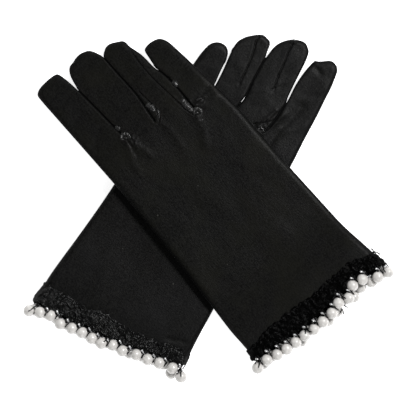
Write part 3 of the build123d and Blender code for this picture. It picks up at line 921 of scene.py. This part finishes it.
def bead_tree():
    """Drilled beads on points: a ball whose hole draws in both of its ends, turned along the thread."""
    tree, given, result = geometry_tree("drilled_beads", {
        "Diameter": "Float", "Length share": "Float", "Hole share": "Float", "Size spread": "Float",
        "Sides": "Int", "Rings": "Int", "Seed": "Int", "Material": "Material",
    })
    ball = add(tree, "GeometryNodeMeshUVSphere", {
        "Segments": given["Sides"], "Rings": given["Rings"], "Radius": 0.5,
    }).outputs[0]
    at = add(tree, "GeometryNodeInputPosition").outputs[0]
    parts = add(tree, "ShaderNodeSeparateXYZ", {0: at}).outputs
    ring = add(tree, "ShaderNodeCombineXYZ", {0: parts[0], 1: parts[1]}).outputs[0]
    off_axis = add(tree, "ShaderNodeVectorMath", {0: ring}, operation="LENGTH").outputs["Value"]
    reach = add(tree, "ShaderNodeMath", {0: given["Hole share"], 1: 0.5}, operation="MULTIPLY").outputs[0]
    drawn = add(
        tree, "ShaderNodeMapRange", {"Value": off_axis, "From Max": reach, "To Min": 0.72},
        interpolation_type="SMOOTHSTEP",
    ).outputs[0]
    length = add(tree, "ShaderNodeMath", {0: drawn, 1: given["Length share"]}, operation="MULTIPLY").outputs[0]
    size = add(tree, "ShaderNodeCombineXYZ", {0: 1.0, 1: 1.0, 2: length}).outputs[0]
    shaped = add(tree, "ShaderNodeVectorMath", {0: at, 1: size}, operation="MULTIPLY").outputs[0]
    bead = add(tree, "GeometryNodeSetPosition", {"Geometry": ball, "Position": shaped}).outputs[0]
    hang = add(tree, "GeometryNodeInputNamedAttribute", {"Name": "hang"}, data_type="FLOAT_VECTOR").outputs[0]
    turned = add(tree, "FunctionNodeAlignRotationToVector", {"Vector": hang}, axis="Z").outputs[0]
    least = add(tree, "ShaderNodeMath", {0: 1.0, 1: given["Size spread"]}, operation="SUBTRACT").outputs[0]
    most = add(tree, "ShaderNodeMath", {0: 1.0, 1: given["Size spread"]}, operation="ADD").outputs[0]
    spread = {2: least, 3: most, "Seed": given["Seed"]}
    share = add(tree, "FunctionNodeRandomValue", spread, data_type="FLOAT").outputs[1]
    wide = add(tree, "ShaderNodeMath", {0: share, 1: given["Diameter"]}, operation="MULTIPLY").outputs[0]
    row = add(tree, "GeometryNodeInstanceOnPoints", {
        "Points": given["Geometry"], "Instance": bead, "Rotation": turned, "Scale": wide,
    }).outputs[0]
    finish_tree(tree, row, given, result)
    return tree


def thread_tree():
    """Round threads along drawn runs, rounded at their bends and closed at their ends."""
    tree, given, result = geometry_tree("thread_runs", {
        "Diameter": "Float", "Points": "Int", "Sides": "Int", "Material": "Material",
    })
    runs = add(tree, "GeometryNodeMeshToCurve", {0: given["Geometry"]}).outputs[0]
    bent = add(tree, "GeometryNodeCurveSplineType", {0: runs}, spline_type="CATMULL_ROM").outputs[0]
    even = add(tree, "GeometryNodeResampleCurve", {"Curve": bent, "Count": given["Points"]}).outputs[0]
    thick = add(tree, "ShaderNodeMath", {0: given["Diameter"], 1: 0.5}, operation="MULTIPLY").outputs[0]
    ring = add(tree, "GeometryNodeCurvePrimitiveCircle", {"Resolution": given["Sides"], "Radius": thick})
    tubes = add(tree, "GeometryNodeCurveToMesh", {
        "Curve": even, "Profile Curve": ring.outputs[0], "Fill Caps": True,
    }).outputs[0]
    finish_tree(tree, tubes, given, result)
    return tree


def stitch_tree():
    """Even running stitches along drawn lines."""
    tree, given, result = geometry_tree("running_stitches", {
        "Pitch": "Float", "Stitch": "Float", "Diameter": "Float", "Material": "Material",
    })
    line = add(tree, "GeometryNodeMeshToCurve", {0: given["Geometry"]}).outputs[0]
    pitch = {"Curve": line, "Length": given["Pitch"]}
    spots = add(tree, "GeometryNodeCurveToPoints", pitch, mode="LENGTH").outputs
    thick = add(tree, "ShaderNodeMath", {0: given["Diameter"], 1: 0.5}, operation="MULTIPLY").outputs[0]
    stitch = add(tree, "GeometryNodeMeshUVSphere", {"Segments": 6, "Rings": 5, "Radius": thick}).outputs[0]
    share = add(tree, "ShaderNodeMath", {0: given["Stitch"], 1: given["Diameter"]}, operation="DIVIDE")
    size = add(tree, "ShaderNodeCombineXYZ", {0: 1.0, 1: 1.0, 2: share.outputs[0]}).outputs[0]
    row = add(tree, "GeometryNodeInstanceOnPoints", {
        "Points": spots["Points"], "Instance": stitch, "Rotation": spots["Rotation"], "Scale": size,
    }).outputs[0]
    finish_tree(tree, row, given, result)
    return tree


def grown(name, verts, edges, tree, hang=None, **values):
    """A plain mesh of what a geometry tree makes from points and edges in metres."""
    mesh = bpy.data.meshes.new("seed")
    mesh.from_pydata(np.asarray(verts, float).tolist(), [tuple(map(int, e)) for e in edges], [])
    if hang is not None:
        layer = mesh.attributes.new("hang", "FLOAT_VECTOR", "POINT")
        layer.data.foreach_set("vector", np.asarray(hang, np.float32).ravel())
    seed = bpy.data.objects.new("seed", mesh)
    bpy.context.collection.objects.link(seed)
    modifier = seed.modifiers.new("tree", "NODES")
    modifier.node_group = tree
    names = {item.name: item.identifier for item in tree.interface.items_tree if item.in_out == "INPUT"}
    for key, value in values.items():
        modifier[names[key.replace("_", " ")]] = value
    seed.update_tag()
    bpy.context.view_layer.update()
    plain = bpy.data.meshes.new_from_object(seed.evaluated_get(bpy.context.evaluated_depsgraph_get()))
    bpy.data.objects.remove(seed)
    for layer in [a.name for a in plain.attributes if a.name == "hang"]:
        plain.attributes.remove(plain.attributes[layer])
    obj = bpy.data.objects.new(name, plain)
    bpy.context.collection.objects.link(obj)
    return obj


# ---------------------------------------------------------------- pearl fringes

# Along the cuff, each pearl's place, and how far short of the row's even line it hangs.  Where the frill is
# crushed its pearls are drawn up, and at the ends they hang free.  A third number is how far a pearl rides up.
BEADS = {
    "pearl": dict(
        Diameter=8.0 * MM, Length_share=1.0, Hole_share=0.22, Size_spread=0.02, Sides=32, Rings=24, Seed=3,
    ),
    "seed_bead": dict(
        Diameter=2.3 * MM, Length_share=0.72, Hole_share=0.6, Size_spread=0.08, Sides=12, Rings=8, Seed=5,
    ),
}
THREAD_D = 0.8
BACK_Z, PALM_Z = 12.5, 4.0
# the even line of each cuff's pearls, as y at x = 0 and its slope
RIGHT.row_line, LEFT.row_line = (-15.6, -0.042), (-20.6, -0.0875)
# how far short of its fringe's hinge each half of the frill starts and ends to bend
RIGHT.flap, LEFT.flap = {"back": (7.0, 3.5), "palm": (7.0, 3.5)}, {"back": (4.5, 2.0), "palm": (3.5, 1.0)}
RIGHT.back_row = [
    (-56.9, 1.4), (-48.5, 1.9), (-40.8, 0.4), (-33.3, -0.5), (-25.7, -0.7), (-18.0, -0.7), (-10.3, -1.4),
    (-2.4, -0.8), (6.2, 0), (14.1, 2.8), (21.7, 1.2), (29.2, 6.4), (37.1, 5.5), (46.3, 0.4), (53.8, -1.3),
]
LEFT.back_row = [
    (-58.0, -1.1), (-49.8, 2.1), (-40.2, 1.6), (-32.0, 0.7), (-23.6, 0.5), (-14.0, -0.9), (-6.2, -0.1),
    (1.2, -1.9), (8.6, -1.5), (16.2, -0.6), (23.9, -0.8), (32.2, -1.1), (40.9, 1.3), (48.3, 0.4),
    (55.4, -1.5),
]
RIGHT.palm_row = [
    (-52.4, 0.9), (-44.5, 1.6), (-36.8, 1.0), (-29.6, 0.5), (-21.9, -2.8), (-14.0, 0), (-6.3, -0.3),
    (1.3, -2.9), (9.9, -1.6), (18.0, 2.0), (25.2, -0.8), (32.8, 1.6), (41.0, 0.2, 4.5), (50.2, 0.6),
]
LEFT.palm_row = [
    (-50.9, -1.8), (-43.2, 2.0), (-35.5, 1.8), (-27.6, 1.0), (-19.0, -0.6), (-10.2, 0.4), (-2.4, -0.4),
    (5.0, -1.0), (12.6, -0.4), (20.2, 0), (28.2, 0), (36.5, 0.8), (44.8, 1.2), (52.6, 0),
]
# Loose ends of thread, each from its knot through its bend to its tip, with heights above the table.
RIGHT.tails = [
    [(54.2, -2.6, 12.6), (56.2, -3.0, 13.8), (57.4, -6.2, 12.4)],
    [(54.2, -2.8, 12.6), (55.6, -0.6, 13.6), (55.0, 0.8, 13.0)],
    [(53.6, -1.8, 12.8), (55.8, -2.2, 14.2), (54.4, -4.8, 13.6), (52.9, -3.6, 13.8)],
    [(53.9, -13.6, 13.5), (52.6, -15.2, 16.6), (52.2, -17.9, 17.0)],
    [(34.4, -6.0, 13.2), (34.0, -6.9, 15.6), (32.0, -7.9, 16.2)],
    [(18.6, -10.4, 13.8), (19.3, -12.0, 15.8), (19.9, -14.0, 16.2)],
    [(16.4, -15.8, 11.0), (16.2, -17.3, 9.8), (16.9, -20.0, 8.6)],
    [(12.6, -17.6, 10.6), (13.4, -19.0, 9.4), (11.9, -21.8, 8.4)],
    [(13.4, -18.6, 9.6), (12.2, -18.9, 9.4), (10.9, -19.7, 9.0)],
    [(-13.9, -11.6, 14.6), (-15.0, -12.8, 16.6), (-17.0, -14.7, 16.8)],
    [(-13.9, -11.6, 14.6), (-14.3, -13.6, 16.8), (-12.5, -16.9, 16.9)],
    [(-52.4, -8.2, 13.6), (-53.6, -9.8, 16.4), (-56.3, -11.9, 16.9)],
    [(-52.4, -8.2, 13.6), (-54.6, -7.6, 15.4), (-56.4, -8.4, 15.6)],
]
LEFT.tails = [
    [(52.9, -21.8, 14.4), (53.5, -23.6, 16.4), (55.3, -27.3, 16.6)],
    [(-0.4, -16.9, 14.4), (-0.7, -18.6, 16.3), (0.7, -22.2, 16.6)],
    [(-54.9, -11.4, 14.2), (-55.9, -13.0, 16.4), (-57.6, -16.2, 16.8)],
    [(-54.9, -11.4, 14.2), (-54.5, -13.6, 16.0), (-54.9, -15.8, 15.6)],
]


def fringe(glove, row):
    """One row of pearls on their threads: each kind of bead's places and directions, and the runs of thread."""
    base, slope = glove.row_line
    back = row == "back"
    pearls = np.array([(*p, 0.0)[:3] for p in (glove.back_row if back else glove.palm_row)])
    x, y = pearls[:, 0], base + slope * pearls[:, 0] + pearls[:, 1]
    stagger = np.where(np.arange(len(x)) % 2, 0.7, -0.1) * (1 if back else 0.6)
    at = np.column_stack([x, y, (BACK_Z if back else PALM_Z) + stagger + pearls[:, 2]])
    aside = (3.7 if back else 1.0) * glove.side
    off = [aside + 0.5 * np.sin(2.3 * x), 4.3 + 0.3 * np.cos(3.1 * x), 0 * x + (0.9 if back else 0.4)]
    seed_at = at + np.column_stack(off)
    seed_at[:, 0] = np.clip(seed_at[:, 0], -55.5, 55.5)
    hang = at - seed_at
    along = hang / np.linalg.norm(hang, axis=1)[:, None]
    beside = np.column_stack([along[:, 1], -along[:, 0], 0 * x])
    seeds = np.vstack([seed_at + 0.9 * beside, seed_at - 0.9 * beside + 0.35 * along])
    edge = drawn_y(glove.frill_edge, x) if back else base + slope * x + 7.6
    runs = []
    for p, s, ahead, across, rim in zip(at, seed_at, along, beside, edge):
        start = np.array([s[0] + 0.4 * aside / 4, max(rim + 0.8, s[1] + 1.6), (12.4 if back else 1.3)])
        for hand in (-0.9, 0.9):
            runs.append([start + hand * across, s + hand * across, p - 3.3 * ahead])
        if back and abs(p[0] + aside) < 56:
            gap = p + (4.2 * np.sign(aside), 1.6, 2.9)
            knot_at = s + (0.9 * np.sign(aside), -0.4, 1.4)
            runs.append([start + (0.6, 0.4, 0), knot_at, gap, gap + (0.2, -1.8, -1.6)])
    if back:
        runs += [np.array(tail) for tail in glove.tails]
    return {"pearl": (at, along), "seed_bead": (seeds, np.vstack([along, along]))}, runs


def turned(glove, vectors):
    """Directions of the drawing as directions on the table."""
    v = np.asarray(vectors, float)
    zero = to_table(glove, np.zeros((1, 2)), np.zeros(1))
    return (to_table(glove, v[:, :2], v[:, 2]) - zero) / MM


def placed(glove, points):
    """Points of the drawing as points on the table."""
    p = np.asarray(points, float)
    return to_table(glove, p[:, :2], p[:, 2])


def between(glove, near, far, z):
    """Where a piece starts and ends to bend, along the middle of the glove at one height."""
    ends = to_table(glove, np.array([(0, near), (0, far)]), np.array([z, z]))
    return dict(start=tuple(ends[0]), end=tuple(ends[1]))


def at_hinge(joint, glove, near, far):
    """Where a piece starts and ends to bend, as distances from a hinge towards the fingers."""
    ahead = np.cross(joint["axis"], (0, 0, 1))
    ahead *= np.sign(ahead @ turned(glove, [(0, 1, 0)])[0])
    return dict(start=tuple(joint["pos_m"] + near * MM * ahead), end=tuple(joint["pos_m"] + far * MM * ahead))


def joined(runs):
    """Runs of points as one list of points and the edges along them."""
    verts, edges = [], []
    for run in runs:
        edges += [(len(verts) + k, len(verts) + k + 1) for k in range(len(run) - 1)]
        verts += [tuple(p) for p in run]
    return np.array(verts), edges


# ---------------------------------------------------------------- building the pair

RECORD = frame["record"]["behaviour"]
BODY_OF = {node: body for body, nodes in RECORD["bodies"].items() for node in nodes}
JOINTS = {joint["name"]: joint for joint in RECORD["joints"]}
beads, threads, stitches = bead_tree(), thread_tree(), stitch_tree()
bead_finish = {"pearl": pearl_lacquer(), "seed_bead": silvered_glass()}
thread_black, tape_black = sewing_thread(), woven_tape()
FINGER_BEND = (1.2, 15)  # from its fold, where a finger starts and ends to bend


def make_skin(glove, hand, satin):
    """The glove's skin, cut into its panels, strips and finger ends.  The finger ends bend at their folds."""
    g = glove.name
    points, faces, names = shell(glove)
    normals = smooth_normals(points, faces)
    cloths = {}
    for name in sorted(set(names)):
        title = name.replace(g + "_", g + "_satin_", 1)
        piece = cloth_piece(title, points, faces[names == name], normals, satin)
        finger = next((f for f in FINGERS if f"_{f}_tip_" in name), None)
        if finger:
            near, far = (glove.folds[finger] + glove.lift + reach for reach in FINGER_BEND)
            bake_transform(piece, hand, BODY_OF[name], **between(glove, near, far, 8.0))
        else:
            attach(piece, BODY_OF[name])
        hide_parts(name)
        cloths[name] = piece
    back, palm = cloths[f"{g}_hand_back"], cloths[f"{g}_hand_palm"]
    return {"back": back, "palm": palm}


def make_cuff(glove, hand, bends, satin):
    """The frill, in two halves that bend with the two fringes, and the tape inside it."""
    g = glove.name
    points, faces, on_back = frill(glove)
    normals = smooth_normals(points, faces)
    for row, half in (("back", on_back), ("palm", ~on_back)):
        piece = cloth_piece(f"{g}_gathered_{row}_frill", points, faces[half], normals, satin)
        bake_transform(piece, hand, BODY_OF[f"{g}_{row}_pearls"], **bends[row])
        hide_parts(f"{g}_frill")
    points, faces, _ = hem_tape(glove)
    piece = cloth_piece(f"{g}_inner_tape", points, faces, smooth_normals(points, faces), tape_black, 0.3 * MM)
    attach(piece, BODY_OF[f"{g}_hem"])
    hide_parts(f"{g}_hem")


def make_thumb(glove, satin):
    """The thumb, flat on what the hand lies on."""
    g = glove.name
    points, faces = thumb(glove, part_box(f"{g}_thumb")[0][2] / MM)
    piece = fresh_mesh(f"{g}_satin_thumb", points, faces, satin)
    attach(piece, BODY_OF[f"{g}_thumb"])
    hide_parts(f"{g}_thumb")


def make_fringe(glove, hand, row, bend):
    """One row's pearls, seed beads and threads."""
    g = glove.name
    body = BODY_OF[f"{g}_{row}_pearls"]
    strung, runs = fringe(glove, row)
    for kind, (at, along) in strung.items():
        piece = grown(
            f"{g}_{row}_{kind}_row", placed(glove, at), [], beads, turned(glove, along),
            **BEADS[kind], Material=bead_finish[kind],
        )
        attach(piece, body)
        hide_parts(f"{g}_{row}_{kind}s")
    piece = grown(
        f"{g}_{row}_thread_runs", *joined([placed(glove, run) for run in runs]), threads,
        Diameter=THREAD_D * MM, Points=7, Sides=6, Material=thread_black,
    )
    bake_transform(piece, hand, body, **bend)
    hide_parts(f"{g}_{row}_threads")


def make_trim(glove, hand, satin):
    """The tufts at the finger roots, and the running stitches that gather the frill."""
    piece = fresh_mesh(f"{glove.name}_seam_tufts", *crumpled(glove), satin)
    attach(piece, hand)
    line = resample([(x, y - 1.4) for x, y in glove.frill_top[1:-1]], 1.0)
    seam = to_table(glove, line, np.full(len(line), 13.3))
    piece = grown(
        f"{glove.name}_gathering_stitches", *joined([seam]), stitches,
        Pitch=2.8 * MM, Stitch=1.9 * MM, Diameter=0.4 * MM, Material=thread_black,
    )
    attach(piece, hand)


RIGHT.tone = dict(name="stretch_satin_olive_black", tint="#14140e", mottle=0.45)
LEFT.tone = dict(name="stretch_satin_black", tint="#121214", mottle=0.3)
RIGHT.crush, LEFT.crush = dict(specular=0.025, crush=0.001), dict(specular=0.17, crush=0.0017)

for glove in GLOVES:
    g, turn = glove.name, glove.turn
    hand = BODY_OF[f"{g}_hand_back"]
    face_satin = stretch_satin(
        turn=turn, dark="#000000", light="#171716", rough=0.42, specular=0.08, grain_high=0.0006, **glove.tone
    )
    # the tufts take a paler copy of the satin: its lighter colours are painted highlight on the puckers
    tuft_satin_painted_highlight = stretch_satin(f"{g}_tuft_satin", turn, "#060606", "#262625", "#141414", 0.3, 0.34, 0.5, 0.0003)
    frill_satin = stretch_satin(
        f"{g}_crushed_satin", turn, "#000000", "#040404", "#010101", 0.3, 0.22, grain_high=0.0004, **glove.crush
    )
    panels = make_skin(glove, hand, face_satin)
    # the cuff's edge turns with its pearls, so each half of the frill bends into its own fringe
    bends = {row: at_hinge(JOINTS[f"{g}_{row}_fringe_swing"], glove, *glove.flap[row]) for row in glove.flap}
    make_cuff(glove, hand, bends, frill_satin)
    make_thumb(glove, face_satin)
    for row, bend in bends.items():
        make_fringe(glove, hand, row, bend)
    make_trim(glove, hand, tuft_satin_painted_highlight)

# ---------------------------------------------------------------- table and light

corners = [(-4, -4, 0), (4, -4, 0), (4, 4, 0), (-4, 4, 0)]
table_top = fresh_mesh("table_top", corners, [(0, 1, 2, 3)], white_table())


def softbox(name, azimuth, elevation, distance, size, power):
    """A square soft light that faces the gloves, azimuth counted from the right-hand side of the picture."""
    data = bpy.data.lights.new(name, "AREA")
    data.size, data.energy = size, power
    lamp = bpy.data.objects.new(name, data)
    a, e = math.radians(azimuth), math.radians(elevation)
    lamp.location = distance * Vector((math.cos(a) * math.cos(e), math.sin(a) * math.cos(e), math.sin(e)))
    lamp.rotation_euler = (-lamp.location).to_track_quat("-Z", "Y").to_euler()
    bpy.context.collection.objects.link(lamp)


softbox("key", 38, 56, 2.2, 0.45, 45)
softbox("left_fill", 170, 28, 2.4, 1.6, 5)
softbox("front_fill", 275, 30, 2.4, 1.6, 15)
softbox("back_fill", 90, 28, 2.6, 1.6, 12)

world = bpy.data.worlds.new("studio")
bpy.context.scene.world = world
world.use_nodes = True
sky = world.node_tree.nodes["Background"].inputs
sky["Color"].default_value = (1, 1, 1, 1)
sky["Strength"].default_value = 0.12
bpy.context.scene.view_settings.view_transform = "Standard"
